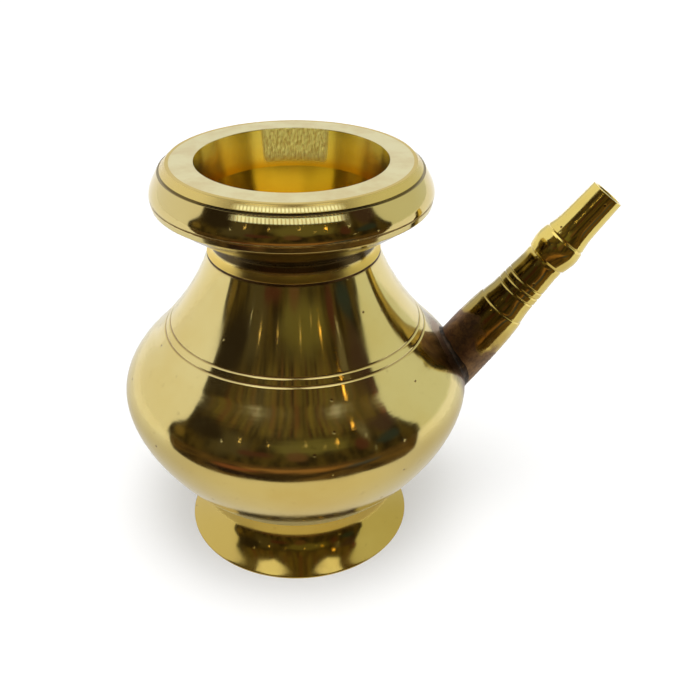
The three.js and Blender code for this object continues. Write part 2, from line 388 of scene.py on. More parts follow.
def neck_outline():
    root, _, lip = COLLAR_JOINT
    ring_root, ring_lip, _ = RING_JOINT
    cove_foot = (COLLAR_RADIUS, COLLAR_HEIGHT + 0.5)
    cove = cubic(cove_foot, (22, 86.9), (CREASE_RADIUS + 0.05, 87.6), (CREASE_RADIUS, 88.6), 20)
    crease_foot = (CREASE_RADIUS, CREASE_HEIGHT - 0.6)
    crease = cubic(crease_foot, (CREASE_RADIUS, CREASE_HEIGHT), (21.5, 90.8), (22.2, 91.2), 10)
    flange = cubic((22.4, 91.3), (26, 93.4), (30, 96.4), (RING_RADIUS - 1, LIP_HEIGHT), 36)
    bore = cubic((SPIGOT_BORE, RING_FOOT), (21.7, 96.2), (20.6, 92.2), (THROAT_RADIUS, THROAT_TOP), 24)
    return [
        (THROAT_RADIUS, SPIGOT_FOOT, 0.4),
        (SPIGOT_RADIUS, SPIGOT_FOOT),
        (SPIGOT_RADIUS, COLLAR_HEIGHT),
        root,
        (*lip, 0.08),
        *cove,
        (CREASE_RADIUS, CREASE_HEIGHT - 0.9),
        *crease,
        *flange,
        (RING_RADIUS - 0.3, LIP_HEIGHT + 0.4, 0.25),
        (*ring_lip, 0.12),
        ring_root,
        (RING_SPIGOT_RADIUS, RING_SEAT),
        (RING_SPIGOT_RADIUS, RING_FOOT),
        *bore,
    ]


def steps_between(a, b, count):
    """The points that divide a straight line into a count of parts, without its ends."""
    return [Vector(a).lerp(Vector(b), i / count) for i in range(1, count)]


def ring_outline():
    root, _, lip = RING_JOINT
    band = cubic((RING_RADIUS, 102.6), (35.2, 104.2), (34.2, 105.9), BAND_TOP, 48)
    return [
        (SPIGOT_BORE, RING_FOOT),
        (RING_SPIGOT_RADIUS, RING_FOOT),
        (RING_SPIGOT_RADIUS, RING_SEAT),
        root,
        (*lip, 0.15),
        *band[:-1],
        (*BAND_TOP, 0.22),
        (BAND_TOP[0] - 0.65, BAND_TOP[1], 0.1),
        BEVEL_FOOT,
        *steps_between(BEVEL_FOOT, (FLAT_RADIUS, HEIGHT), 16),
        (FLAT_RADIUS, HEIGHT, 0.3),
        (MOUTH_RADIUS, HEIGHT, 0.2),
        *steps_between((MOUTH_RADIUS, HEIGHT), (SPIGOT_BORE, RING_FOOT), 40),
    ]


def angles_round(step, zones):
    """Angles round an axis, a step of degrees apart, and closer inside each zone of (start, end, step)."""
    angles = []
    angle = 0.0
    while angle < 360:
        angles.append(math.radians(angle))
        inside = [fine for start, end, fine in zones if start <= angle < end]
        angle += inside[0] if inside else step
    return angles


def window(value, start, end, soft):
    """1 between start and end, falling smoothly to 0 over a soft stretch inside each."""
    t = min(max(min(value - start, end - value) / soft, 0), 1)
    return t * t * (3 - 2 * t)


def tool_chatter(radius, height, angle):
    """How far a trembling tool pushed the surface out: beads on the rim's front, ribs in the bore's back."""
    degrees = math.degrees(angle)
    if radius > FLAT_RADIUS:
        on_bevel = window(height, BEVEL_FOOT[1] - 0.1, BEVEL_FOOT[1] + 0.8, 0.25) * 0.5
        on_band = window(height, BAND_TOP[1] - 1.8, BAND_TOP[1] + 0.1, 0.4)
        strength = (on_bevel + on_band) * window(degrees, *BEAD_ZONE, 6) * BEAD_HEIGHT
        lean = BEAD_TWIST * height + BEAD_WAVER * math.sin(WAVERS_ROUND * angle)
        return strength * (0.3 + math.sin(angle * BEADS_ROUND + lean))
    if radius < MOUTH_RADIUS + 0.1:
        strength = window(height, RIBS_LOW, HEIGHT + 1, 1.6) * window(degrees, *RIB_ZONE, 2.5) * RIB_HEIGHT
        lean = 0.8 * math.sin(height * 1.3 + 4 * math.sin(9 * angle))
        crossing = 0.4 * math.sin(height * 4.1 + 60 * angle)
        return strength * (math.sin(angle * RIBS_ROUND + lean) + crossing)
    return 0.0


def ring_mesh():
    """The mouth ring, turned like the other castings but with the marks of tool chatter."""
    angles = angles_round(1.25, [(*BEAD_ZONE, 0.23), (*RIB_ZONE, 0.26)])
    rows = []
    for radius, height in rounded(ring_outline()):
        row = []
        for angle in angles:
            reach = radius + tool_chatter(radius, height, angle)
            row.append((reach * math.cos(angle), reach * math.sin(angle), height))
        rows.append(row)
    return skin("ring_cast", rows)


# The spout, along the Z of its own frame


def saddle(x, y):
    """How far along the spout's line a parallel line, set off from it by x and y, comes out of the pot."""
    inside, outside = SADDLE_SEARCH
    while outside - inside > 1e-3:
        middle = (inside + outside) / 2
        across = math.hypot(middle * math.sin(SPOUT_TILT) + x * math.cos(SPOUT_TILT), y)
        height = SPOUT_CROSSING + middle * math.cos(SPOUT_TILT) - x * math.sin(SPOUT_TILT)
        if across < pot_point(height)[0]:
            inside = middle
        else:
            outside = middle
    return inside


def spout_outline():
    root = between([(ROOT_RADIUS, 55), (7.85, 76), (7.65, 86), (7.05, STEP_PLACE)])
    stem = between([(6.75, 93.1), (6.2, 96.6), (5.95, 101.5), (5.5, 107.6), (5.6, KNOP_START)])
    knop = spline([(5.8, KNOP_START + 0.5), (6.25, 112.9), (KNOP_RADIUS, 114.9), (6.05, KNOP_END - 0.5)], 8)
    tip = spline([(5.75, KNOP_END + 0.4), (5.15, 121), (4.85, 126.5), (TIP_RADIUS, SPOUT_END - 0.5)], 10)
    outline = [root(place) for place in spaced(ROOT_START, STEP_PLACE - 0.4, 30)]
    outline += [(7.0, STEP_PLACE, 0.25), (6.72, STEP_PLACE + 0.25, 0.15)]
    outline += [stem(place) for place in spaced(STEP_PLACE + 0.7, SPOUT_RINGS[0] - RING_MARGIN, 10)]
    for place in SPOUT_RINGS:
        outline += incised(stem, place, RING_WIDTH, RING_DEPTH)
    outline += [stem(place) for place in spaced(SPOUT_RINGS[-1] + RING_MARGIN, KNOP_START - 0.7, 14)]
    outline += [(5.35, KNOP_START, 0.12), *knop, (5.6, KNOP_END, 0.12), *tip]
    outline += [(TIP_RADIUS - 0.02, SPOUT_END, 0.3), (TIP_BORE, SPOUT_END, 0.3)]
    outline += [(TIP_BORE, 120), (4.4, 106), (5.4, 92), (ROOT_BORE, 84), (ROOT_BORE, ROOT_START)]
    return rounded(outline)


def spout_mesh():
    """The spout turned like the pot, with its root stretched down to the saddle where it meets the pot."""
    rows = []
    for radius, place in spout_outline():
        row = ring_of(radius, place, SPOUT_SIDES)
        if place < ROOT_BLEND:
            share = (ROOT_BLEND - place) / (ROOT_BLEND - ROOT_START)
            row = [(x, y, ROOT_BLEND - share * (ROOT_BLEND - saddle(x, y) + ROOT_SINK)) for x, y, _ in row]
        rows.append(row)
    return skin("spout_cast", rows)


def ripple(angle, waves):
    """A smooth uneven line round the spout, from -1 to 1, with the same shape on every run."""
    total = sum(math.sin(count * angle + phase) * size for count, phase, size in waves)
    return total / sum(size for _, _, size in waves)


# The fillet's uneven edges, as (waves round the spout, their phase in radians, their share)
TOE_WAVES = [(3, 0.4, 1), (5, 2.1, 0.9), (11, 4.0, 0.6), (23, 1.0, 0.3)]
LIP_WAVES = [(2, 1.4, 1), (7, 0.3, 0.7), (13, 2.2, 0.5), (29, 0.0, 0.2)]


def spout_braze_mesh():
    """The fillet round the spout's root, draped on the pot, with an uneven toe where the metal ran."""
    rows = []
    for t in spaced(0, 1, 10):
        row = []
        for angle in turns(SPOUT_SIDES):
            below = (1 + math.cos(angle)) / 2
            spread = 1.25 + 0.35 * ripple(angle, TOE_WAVES) - 0.5 * below
            rise = 1.7 + 0.5 * ripple(angle, LIP_WAVES) + 3.4 * below
            radius = ROOT_RADIUS - FILLET_SINK + (spread + FILLET_SINK) * (1 - t) ** 2.4
            x, y = radius * math.cos(angle), radius * math.sin(angle)
            row.append((x, y, saddle(x, y) - 0.12 + rise * t**1.6))
        rows.append(row)
    sunk_lip = [(x * 0.93, y * 0.93, z - 1.2) for x, y, z in rows[-1]]
    sunk_toe = [(x * 0.97, y * 0.97, z - 1.0) for x, y, z in rows[0]]
    return skin("spout_braze", [*rows, sunk_lip, sunk_toe])


# Nodes


class Nodes:
    """A node tree, built by short calls that give back sockets. Arguments are sockets or plain values."""

    def __init__(self, tree, coordinates="Object"):
        self.tree = tree
        self.coordinates = self.add("ShaderNodeTexCoord").outputs[coordinates]

    def add(self, kind, **settings):
        node = self.tree.nodes.new(kind)
        for name, value in settings.items():
            setattr(node, name, value)
        return node

    def put(self, value, socket):
        if isinstance(value, bpy.types.NodeSocket):
            self.tree.links.new(value, socket)
        else:
            socket.default_value = value

    def made(self, kind, values, **settings):
        """A new node with values put into its first sockets."""
        node = self.add(kind, **settings)
        for value, socket in zip(values, node.inputs):
            self.put(value, socket)
        return node

    def math(self, operation, *values):
        return self.made("ShaderNodeMath", values, operation=operation).outputs[0]

    def times(self, a, b):
        return self.math("MULTIPLY", a, b)

    def plus(self, a, b):
        return self.math("ADD", a, b)

    def minus(self, a, b):
        return self.math("SUBTRACT", a, b)

    def raised(self, value, area, added):
        """A value with an amount added inside an area."""
        return self.plus(value, self.times(area, added))

    def apart(self, a, b):
        """How far two values are from each other."""
        return self.math("ABSOLUTE", self.minus(a, b))

    def length(self, a, b):
        """The length of the line whose parts along two axes are given."""
        return self.math("SQRT", self.plus(self.times(a, a), self.times(b, b)))

    def combine(self, x, y, z):
        return self.made("ShaderNodeCombineXYZ", (x, y, z)).outputs[0]

    def split(self, vector=None):
        return self.made("ShaderNodeSeparateXYZ", [vector or self.coordinates]).outputs

    def distance(self, point, stretched=(1, 1, 1)):
        """Distance from a point in the shader's coordinates, in metres, with each axis stretched."""
        place = self.made("ShaderNodeVectorMath", (self.coordinates, stretched), operation="MULTIPLY")
        ends = (place.outputs[0], [a * b for a, b in zip(point, stretched)])
        return self.made("ShaderNodeVectorMath", ends, operation="DISTANCE").outputs["Value"]

    def noise(self, scale, detail, roughness=0.5, vector=None):
        node = self.add("ShaderNodeTexNoise")
        self.put(vector or self.coordinates, node.inputs["Vector"])
        for name, value in (("Scale", scale), ("Detail", detail), ("Roughness", roughness)):
            self.put(value, node.inputs[name])
        return node.outputs["Fac"]

    def fade(self, value, start, end, low=0.0, high=1.0):
        """A smooth step of the value from low at start to high at end."""
        values = (value, start, end, low, high)
        return self.made("ShaderNodeMapRange", values, interpolation_type="SMOOTHSTEP").outputs[0]

    def patches(self, noise, start, end, low=0.0, high=1.0):
        """A noise, faded between two of its levels."""
        return self.fade(self.noise(*noise), start, end, low, high)

    def mix(self, factor, a, b):
        node = self.add("ShaderNodeMix", data_type="RGBA")
        for value, socket in zip((factor, a, b), (node.inputs[0], node.inputs[6], node.inputs[7])):
            self.put(value, socket)
        return node.outputs[2]

    def rays(self, *kinds):
        """1 for the named kinds of rays and 0 for others."""
        path = self.add("ShaderNodeLightPath")
        total = path.outputs[kinds[0]]
        for kind in kinds[1:]:
            total = self.math("MAXIMUM", total, path.outputs[kind])
        return total


class Shader(Nodes):
    """A material's node tree, in the coordinates of a frame: the pot's, or the spout's."""

    def __init__(self, name, place=POT_FRAME):
        self.material = bpy.data.materials.new(name)
        self.material.use_nodes = True
        super().__init__(self.material.node_tree)
        self.surface = self.tree.nodes["Principled BSDF"]
        mapping = self.add("ShaderNodeMapping", vector_type="TEXTURE")
        mapping.inputs["Location"].default_value = place.to_translation()
        mapping.inputs["Rotation"].default_value = place.to_euler()
        self.put(self.coordinates, mapping.inputs["Vector"])
        self.coordinates = mapping.outputs[0]

    def set(self, **values):
        """Puts values into the surface's sockets, named with an underscore for each space."""
        for name, value in values.items():
            self.put(value, self.surface.inputs[name.replace("_", " ")])

    def show(self, node):
        self.put(node.outputs[0], self.tree.nodes["Material Output"].inputs["Surface"])

    def step(self, place, start, end, low=0.0, high=1.0):
        """A fade over a place in metres, whose start and end are given in millimetres."""
        return self.fade(place, start * MM, end * MM, low, high)


class Finish(Shader):
    """A metal's finish, built up in layers of colour, roughness and relief."""

    def __init__(self, name, roughness=0.1, place=POT_FRAME):
        super().__init__(name, place)
        x, y, self.height = self.split()
        self.radius = self.length(x, y)
        self.angle = self.math("ARCTAN2", y, x)
        self.rough = roughness
        self.normal = None

    def from_height(self, start, end):
        """A fade from 0 at one height to 1 at another, both in millimetres."""
        return self.step(self.height, start, end)

    def zone(self, start, full, fading, end):
        """1 between two heights, with a soft rise and fall, all given in millimetres."""
        return self.times(self.from_height(start, full), self.from_height(end, fading))

    def paint(self, area, color):
        self.color = self.mix(area, self.color, color)

    def roughen(self, area, added):
        self.rough = self.raised(self.rough, area, added)

    def dent(self, relief, depth):
        """Lays a relief of some depth, in metres, over the ones before."""
        bump = self.add("ShaderNodeBump")
        self.put(relief, bump.inputs["Height"])
        bump.inputs["Distance"].default_value = depth
        if self.normal:
            self.put(self.normal, bump.inputs["Normal"])
        self.normal = bump.outputs["Normal"]

    def round_lines(self, noise, share):
        """A noise drawn out round the axis, where it changes with only a share of the angle."""
        return self.noise(*noise, self.combine(self.radius, self.height, self.times(self.angle, share)))

    def pits(self):
        """Sparse casting pits: 1 in a pit and 0 elsewhere."""
        cells = self.add("ShaderNodeTexVoronoi", feature="F1")
        self.put(self.coordinates, cells.inputs["Vector"])
        self.put(PIT_CELLS, cells.inputs["Scale"])
        inside = self.fade(cells.outputs["Distance"], PIT_REACH, PIT_REACH * 0.55)
        chosen = self.split(cells.outputs["Color"])[0]
        return self.times(inside, self.math("GREATER_THAN", chosen, UNPITTED))

    def grained(self, amount):
        """Stretches reflections across the fine lines that run round the pot."""
        tangent = self.add("ShaderNodeTangent", direction_type="RADIAL", axis="Z")
        self.set(Tangent=tangent.outputs[0], Anisotropic=amount, Anisotropic_Rotation=0.25)

    def done(self, metallic=1.0):
        self.set(Base_Color=self.color, Roughness=self.rough, Normal=self.normal, Metallic=metallic)
        return self.material


# Colours, given in display values from 0 to 255


def linear(red, green, blue):
    """A display colour as the linear colour that sockets take."""
    channels = []
    for value in (red, green, blue):
        value /= 255
        channels.append(value / 12.92 if value <= 0.04045 else ((value + 0.055) / 1.055) ** 2.4)
    return (*channels, 1.0)


PALE_BRASS = linear(216, 199, 136)
DEEP_BRASS = linear(205, 179, 98)
FOOT_PALE = linear(194, 169, 90)
FOOT_DEEP = linear(180, 151, 68)
SPOUT_PALE = linear(228, 206, 118)
SPOUT_DEEP = linear(214, 184, 84)
BAND_PALE = linear(206, 187, 124)
BAND_DEEP = linear(194, 168, 92)
FACED_PALE = linear(228, 218, 168)
FACED_DEEP = linear(218, 201, 146)
BEVEL_BRASS = linear(212, 188, 112)
BORE_PALE = linear(244, 230, 150)
BORE_PAINTED_SHADE = linear(228, 190, 66)
BEAD_PAINTED_HIGHLIGHT = linear(250, 240, 168)
BEAD_GAP = linear(214, 192, 116)
RIB_PAINTED_HIGHLIGHT = linear(252, 238, 132)
RIB_PAINTED_SHADE = linear(226, 198, 92)
SATIN_PAINTED_HIGHLIGHT = linear(236, 206, 112)
HAZE_BRASS = linear(214, 204, 158)
TARNISH = linear(120, 84, 40)
# Dark colour of painted shade, in the neck's crease, under its flange and in the ring's groove
PAINTED_SHADE_DARK = linear(64, 48, 22)
HEAT_STRAW = linear(168, 132, 60)
HEAT_BROWN = linear(138, 106, 80)
HEAT_PURPLE = linear(96, 72, 66)
OLIVE_HEAT_AND_REFLECTION = linear(88, 70, 34)
BRAZE_GLINT = linear(150, 118, 70)

# Noises, as (scale, detail) or (scale, detail, roughness)

CLOUDS = (45.0, 3.0)
SWELLS = (60.0, 1.0)
STAINS = (420.0, 4.0, 0.6)
DULL_PATCHES = (160.0, 4.0, 0.65)
TURNING_LINES = (2600.0, 3.0, 0.7)
COMB_LINES = (1500.0, 2.0, 0.6)
HEAT_EDGE = (150.0, 3.0)
SPOUT_HEAT_EDGE = (130.0, 3.0)
SPOUT_SWELLS = (130.0, 1.5)
SPOUT_STREAKS = (900.0, 3.0, 0.6)
SCALE_BLOTCHES = (520.0, 5.0, 0.7)
SCALE_GRAIN = (900.0, 4.0, 0.6)
SHADE_PATCHES = (140.0, 3.0, 0.6)
FACED_PATCHES = (150.0, 4.0, 0.6)
FACING_LINES = (900.0, 2.0, 0.6)
TORN_RIBS = (1900.0, 2.0, 0.6)
OXIDE_PATCHES = (330.0, 4.0, 0.6)
GLINTS = (800.0, 3.0, 0.6)
BRAZE_GRAIN = (1500.0, 5.0, 0.65)
BRAZE_LUMPS = (420.0, 2.0)

PIT_CELLS = 230.0
PIT_REACH = 0.1
UNPITTED = 0.8
TURNING_DEPTH = 7e-7


# Finishes. Depths of relief are in metres, and other sizes in millimetres.


def polished(name, colors=(PALE_BRASS, DEEP_BRASS), roughness=0.1, grain=0.8, more=None, grooves=(), **where):
    """Mirror-polished brass with turning lines, a faint haze, pits and tarnish in its grooves."""
    metal = Finish(name, roughness, **where)
    cloud = metal.noise(*CLOUDS)
    metal.color = metal.mix(metal.fade(cloud, 0.35, 0.75, 0.0, 0.5), *colors)
    metal.paint(metal.patches(STAINS, 0.62, 0.8, 0.0, 0.22), TARNISH)
    metal.roughen(metal.patches(DULL_PATCHES, 0.4, 0.8), 0.06)
    for groove, reach, strength in grooves:
        near = metal.step(metal.apart(metal.height, groove * MM), reach, 0.0)
        uneven = metal.times(near, metal.fade(cloud, 0.3, 0.7, strength * 0.6, strength))
        metal.paint(uneven, TARNISH)
        metal.roughen(uneven, 0.2)
    pitted = metal.pits()
    metal.paint(metal.times(pitted, 0.8), TARNISH)
    metal.dent(metal.noise(*SWELLS), 2.2e-5)
    metal.dent(metal.round_lines(TURNING_LINES, 0.0004), TURNING_DEPTH)
    metal.dent(metal.minus(1.0, pitted), 8e-5)
    if more:
        more(metal)
    if grain:
        metal.grained(grain)
    return metal.done()


COMB_ZONE = (50, 54, 59, 63)
HEAT_OFFSET = Vector((-0.001, -0.002, 0.0))
HEAT_RINGS = [(OLIVE_HEAT_AND_REFLECTION, 16.5, 11.5, 0.75, 0.08), (HEAT_BROWN, 12.2, 9.8, 0.8, 0.2)]


def shell_finish(metal):
    """Coarser turning lines below the incised lines, and the heat stain round the spout's root."""
    metal.dent(metal.times(metal.zone(*COMB_ZONE), metal.round_lines(COMB_LINES, 0.0003)), 1.4e-5)
    root = SPOUT_FRAME @ Vector((0, 0, saddle(0, 0) * MM)) - AXIS
    away = metal.distance(root + HEAT_OFFSET, (1, 1, 0.9))
    uneven = metal.plus(away, metal.patches(HEAT_EDGE, 0.3, 0.7, -0.0018, 0.0018))
    for color, start, full, share, roughness in HEAT_RINGS:
        ring = metal.step(uneven, start, full, 0.0, share)
        metal.paint(ring, color)
        metal.roughen(ring, roughness)


HAZE_TOP = 28.5
HAZE_FULL = 22.5


def belly_finish(metal):
    """A haze low on the belly, where a buffing wheel hardly reaches."""
    haze = metal.from_height(HAZE_TOP, HAZE_FULL)
    metal.paint(metal.times(haze, 0.7), HAZE_BRASS)
    metal.roughen(haze, 0.26)


def spout_heat(metal):
    """Heat stain on the spout, brown and dull at the root and straw up to the step, and an olive painted
    reflection of the pot on the side that faces it, up to about the knop.
    """
    x, y, place = metal.split()
    uneven = metal.plus(place, metal.patches(SPOUT_HEAT_EDGE, 0.25, 0.75, -0.0035, 0.0035))
    # Painted reflection of the pot: olive on the spout's upper side that faces it, below the knop.
    metal.paint(metal.times(metal.step(x, 2.0, -3.0), metal.step(uneven, 114, 106, 0.0, 0.62)), OLIVE_HEAT_AND_REFLECTION)
    metal.paint(metal.step(uneven, 94, 84, 0.0, 0.4), HEAT_STRAW)
    reach = metal.step(x, 5.0, -6.0, 0.0815, 0.0865)
    brown = metal.step(metal.minus(uneven, reach), 1.6, -1.6, 0.0, 0.9)
    metal.paint(brown, metal.mix(metal.patches(SCALE_BLOTCHES, 0.38, 0.62), HEAT_BROWN, HEAT_PURPLE))
    metal.roughen(brown, 0.36)
    metal.dent(metal.times(brown, metal.noise(*SCALE_GRAIN)), 5e-5)
    metal.dent(metal.noise(*SPOUT_SWELLS), 2.2e-4)
    metal.dent(metal.noise(*SPOUT_STREAKS, metal.combine(x, y, metal.times(place, 0.12))), 2.2e-5)


SATIN_TOP = 88.6
SATIN_FULL = 87.6
CREASE_ZONE = (88, 88.8, 91, 92.5)
FLANGE_ZONE = (90.5, 92, 99, 99.6)
BORE_SLOPE = 0.28


def neck_finish(metal):
    """A satin foot of the collar painted a paler gold as a highlight, painted shade in the crease and under
    the flange, and a bore painted a deeper gold as shade.
    """
    satin = metal.from_height(SATIN_TOP, SATIN_FULL)
    metal.roughen(satin, 0.26)
    # The collar's foot is satin, and is also painted a paler gold as a highlight.
    metal.paint(satin, SATIN_PAINTED_HIGHLIGHT)
    crease = metal.zone(*CREASE_ZONE)
    metal.roughen(crease, 0.15)
    # Painted shade in the crease under the flange, along with more roughness.
    metal.paint(metal.times(crease, 0.95), PAINTED_SHADE_DARK)
    # Painted shade under the flange, in patches.
    patchy = metal.patches(SHADE_PATCHES, 0.35, 0.65, 0.72, 0.94)
    metal.paint(metal.times(metal.zone(*FLANGE_ZONE), patchy), PAINTED_SHADE_DARK)
    above_throat = metal.math("MAXIMUM", metal.minus(metal.height, THROAT_TOP * MM), 0.0)
    bore_radius = metal.plus(metal.times(above_throat, BORE_SLOPE), (THROAT_RADIUS + 0.45) * MM)
    bore = metal.math("LESS_THAN", metal.radius, bore_radius)
    # Painted shade: the whole bore of the neck takes a deeper, darker gold.
    metal.paint(bore, BORE_PAINTED_SHADE)
    metal.roughen(bore, 0.06)


def sector(metal, ends, past, short):
    """1 between two turns round the axis, fading from past the ends to short of them."""
    middle = sum(ends) / 2
    half = (ends[1] - ends[0]) / 2
    turn = metal.math("DEGREES", metal.angle)
    from_middle = metal.apart(turn, middle - 360 if middle > 180 else middle)
    return metal.fade(from_middle, half + past, half - short)


GROOVE_HEIGHT = BAND_TOP[1] + 0.1
BEAD_ROWS = (106.3, 106.6, 109, 109.6)
BEAD_CLEAR = 0.3


def bead_marks(metal):
    """The area of the bead rows, clear of the groove between them, and the wave of the beads."""
    from_groove = metal.apart(metal.height, GROOVE_HEIGHT * MM)
    rows = metal.times(metal.zone(*BEAD_ROWS), metal.step(from_groove, BEAD_CLEAR, BEAD_CLEAR * 2))
    rows = metal.times(rows, sector(metal, BEAD_ZONE, 1.0, 5.0))
    lean = metal.times(metal.math("SINE", metal.times(metal.angle, float(WAVERS_ROUND))), BEAD_WAVER)
    lean = metal.plus(lean, metal.times(metal.height, BEAD_TWIST / MM))
    wave = metal.math("SINE", metal.plus(lean, metal.times(metal.angle, float(BEADS_ROUND))))
    return rows, metal.fade(wave, -0.85, 0.0)


def rib_marks(metal):
    """The area of the ribs, and the torn metal that they are made of."""
    area = metal.times(sector(metal, RIB_ZONE, 1.5, 3.0), metal.from_height(100, 104.5))
    torn = metal.combine(metal.times(metal.angle, 0.024), metal.times(metal.height, 0.26), 0.0)
    return area, metal.noise(*TORN_RIBS, torn)


def faced():
    """The mouth ring: a satin faced top, a polished band, a bore, and the beads and ribs of tool chatter.
    Highlights on the beads and ribs, and shade in the groove, between the ribs and low in the bore, are
    painted.
    """
    metal = Finish("faced_brass")
    top = metal.from_height(HEIGHT - 0.25, HEIGHT - 0.08)
    inside = metal.math("LESS_THAN", metal.radius, (MOUTH_RADIUS + 0.25) * MM)
    outside = metal.math("GREATER_THAN", metal.radius, (FLAT_RADIUS - 0.8) * MM)
    bore = metal.times(inside, metal.minus(1.0, top))
    bevel = metal.times(outside, metal.from_height(GROOVE_HEIGHT + 0.1, GROOVE_HEIGHT + 0.4))
    groove = metal.step(metal.apart(metal.height, GROOVE_HEIGHT * MM), 0.24, 0.1, 0.0, 0.65)
    rows, bead_wave = bead_marks(metal)
    beads = metal.times(outside, rows)
    sides, torn = rib_marks(metal)
    ribs = metal.times(bore, sides)

    metal.color = metal.mix(metal.patches(CLOUDS, 0.35, 0.75, 0.0, 0.4), BAND_PALE, BAND_DEEP)
    metal.paint(top, metal.mix(metal.patches(FACED_PATCHES, 0.35, 0.7), FACED_PALE, FACED_DEEP))
    metal.paint(bevel, BEVEL_BRASS)
    # Painted shade: the ring's bore turns a deeper, darker gold low down.
    metal.paint(bore, metal.mix(metal.from_height(100, 103), BORE_PAINTED_SHADE, BORE_PALE))
    # Painted shade in the groove under the bevel.
    metal.paint(metal.times(groove, outside), PAINTED_SHADE_DARK)
    # Painted highlights on the crests of the beads.
    metal.paint(beads, metal.mix(bead_wave, BEAD_GAP, BEAD_PAINTED_HIGHLIGHT))
    # Painted highlights on the ribs and painted shade between them.
    metal.paint(ribs, metal.mix(metal.fade(torn, 0.38, 0.56), RIB_PAINTED_SHADE, RIB_PAINTED_HIGHLIGHT))
    for area, added in ((top, 0.2), (bore, 0.1), (bevel, 0.16), (beads, 0.22), (ribs, 0.36)):
        metal.roughen(area, added)
    metal.dent(metal.noise(*SWELLS), 1.6e-5)
    metal.dent(metal.round_lines(TURNING_LINES, 0.0004), TURNING_DEPTH)
    metal.dent(metal.times(metal.plus(top, bore), metal.round_lines(FACING_LINES, 0.0006)), 5e-6)
    metal.dent(metal.times(ribs, torn), 1.6e-4)
    metal.grained(0.6)
    matt = metal.math("MAXIMUM", metal.times(beads, 0.75), metal.times(ribs, 0.92))
    return metal.done(metal.minus(1.0, matt))


def brazing(name, deep, pale):
    """Dark, rough brazing metal with oxide patches."""
    metal = Finish(name)
    metal.color = metal.mix(metal.patches(OXIDE_PATCHES, 0.35, 0.65), deep, pale)
    metal.paint(metal.patches(GLINTS, 0.58, 0.72, 0.0, 0.35), BRAZE_GLINT)
    grain = metal.noise(*BRAZE_GRAIN)
    metal.rough = metal.fade(grain, 0.3, 0.7, 0.35, 0.6)
    metal.dent(metal.noise(*BRAZE_LUMPS), 2.5e-4)
    metal.dent(grain, 5e-5)
    return metal.done(0.85)


# The pitcher. A groove is (height, reach of its tarnish, strength).

COLLAR_GROOVE = (COLLAR_HEIGHT, 0.9, 0.7)
INCISED_GROOVES = [(line, 0.32, 0.75) for line in SHOULDER_LINES]
BODY_BRASS = polished("shoulder_brass", more=shell_finish, grooves=[COLLAR_GROOVE, *INCISED_GROOVES])
BELLY_BRASS = polished("belly_brass", more=belly_finish, grooves=[(FOOT_TOP, 1.0, 0.7)])
FOOT_BRASS = polished("foot_brass", (FOOT_PALE, FOOT_DEEP), 0.11, 0.5, grooves=[(FOOT_TOP, 1.0, 0.8)])
NECK_BRASS = polished("neck_brass", more=neck_finish, grooves=[(COLLAR_HEIGHT, 0.4, 0.6)])
SPOUT_BRASS = polished("spout_brass", (SPOUT_PALE, SPOUT_DEEP), 0.1, 0, spout_heat, place=SPOUT_FRAME)
RING_BRASS = faced()
SPOUT_BRAZE = brazing("spout_brazing", linear(46, 38, 32), linear(72, 56, 42))
RING_BRAZE = brazing("ring_brazing", linear(128, 96, 44), linear(186, 154, 84))
SEAM_BRAZE = brazing("seam_brazing", linear(62, 44, 20), linear(96, 70, 34))


def pour_hole(shell):
    """Cuts the hole through the shell under the spout's root."""
    low, high = DRILLED
    hole = [ring_of(POUR_HOLE, place, SPOUT_SIDES // 2) for place in DRILLED]
    drill = bpy.data.objects.new("drill", skin("drill", [[(0, 0, low)], *hole, [(0, 0, high)]]))
    bpy.context.scene.collection.objects.link(drill)
    drill.matrix_world = SPOUT_FRAME
    cut = shell.modifiers.new("pour_hole", "BOOLEAN")
    cut.operation = "DIFFERENCE"
    cut.solver = "EXACT"
    cut.object = drill
    bpy.context.view_layer.update()
    graph = bpy.context.evaluated_depsgraph_get()
    pierced = bpy.data.meshes.new_from_object(shell.evaluated_get(graph))
    shell.modifiers.clear()
    shell.data = pierced
    bpy.data.objects.remove(drill)


finished(turned("foot_cast", foot_outline()), "foot", FOOT_BRASS)
finished(turned("belly_cast", belly_outline()), "belly_bowl", BELLY_BRASS)
pour_hole(finished(turned("shoulder_cast", shoulder_outline()), "shoulder", BODY_BRASS))
finished(turned("neck_cast", neck_outline()), "neck", NECK_BRASS)
finished(ring_mesh(), "mouth_ring", RING_BRASS)
finished(spout_mesh(), "spout", SPOUT_BRASS, place=SPOUT_FRAME)
finished(spout_braze_mesh(), "spout_seam", SPOUT_BRAZE, SPOUT_FRAME)
SEAMS = {
    "foot": (FOOT_JOINT, SEAM_BRAZE),
    "collar": (COLLAR_JOINT, SEAM_BRAZE),
    "ring": (RING_JOINT, RING_BRAZE),
    "belly": (BELLY_JOINT, SEAM_BRAZE),
}
for seam, (joint, metal) in SEAMS.items():
    finished(turned(f"{seam}_braze", braze_outline(joint)), f"{seam}_seam", metal)


# The studio: a white room that opens in front on a dark room, with two windows and a few lamps. Azimuth 0 is
# the camera's side and 90 the spout's. Angles are in degrees and lengths in millimetres.

WHITE = (1, 1, 1, 1)
WARM = (1.0, 0.74, 0.34, 1)
ORANGE = (1.0, 0.58, 0.12, 1)
WINDOW_SHADE = (0.93, 0.95, 0.9, 1)
WINDOW_STRENGTH = 1.4
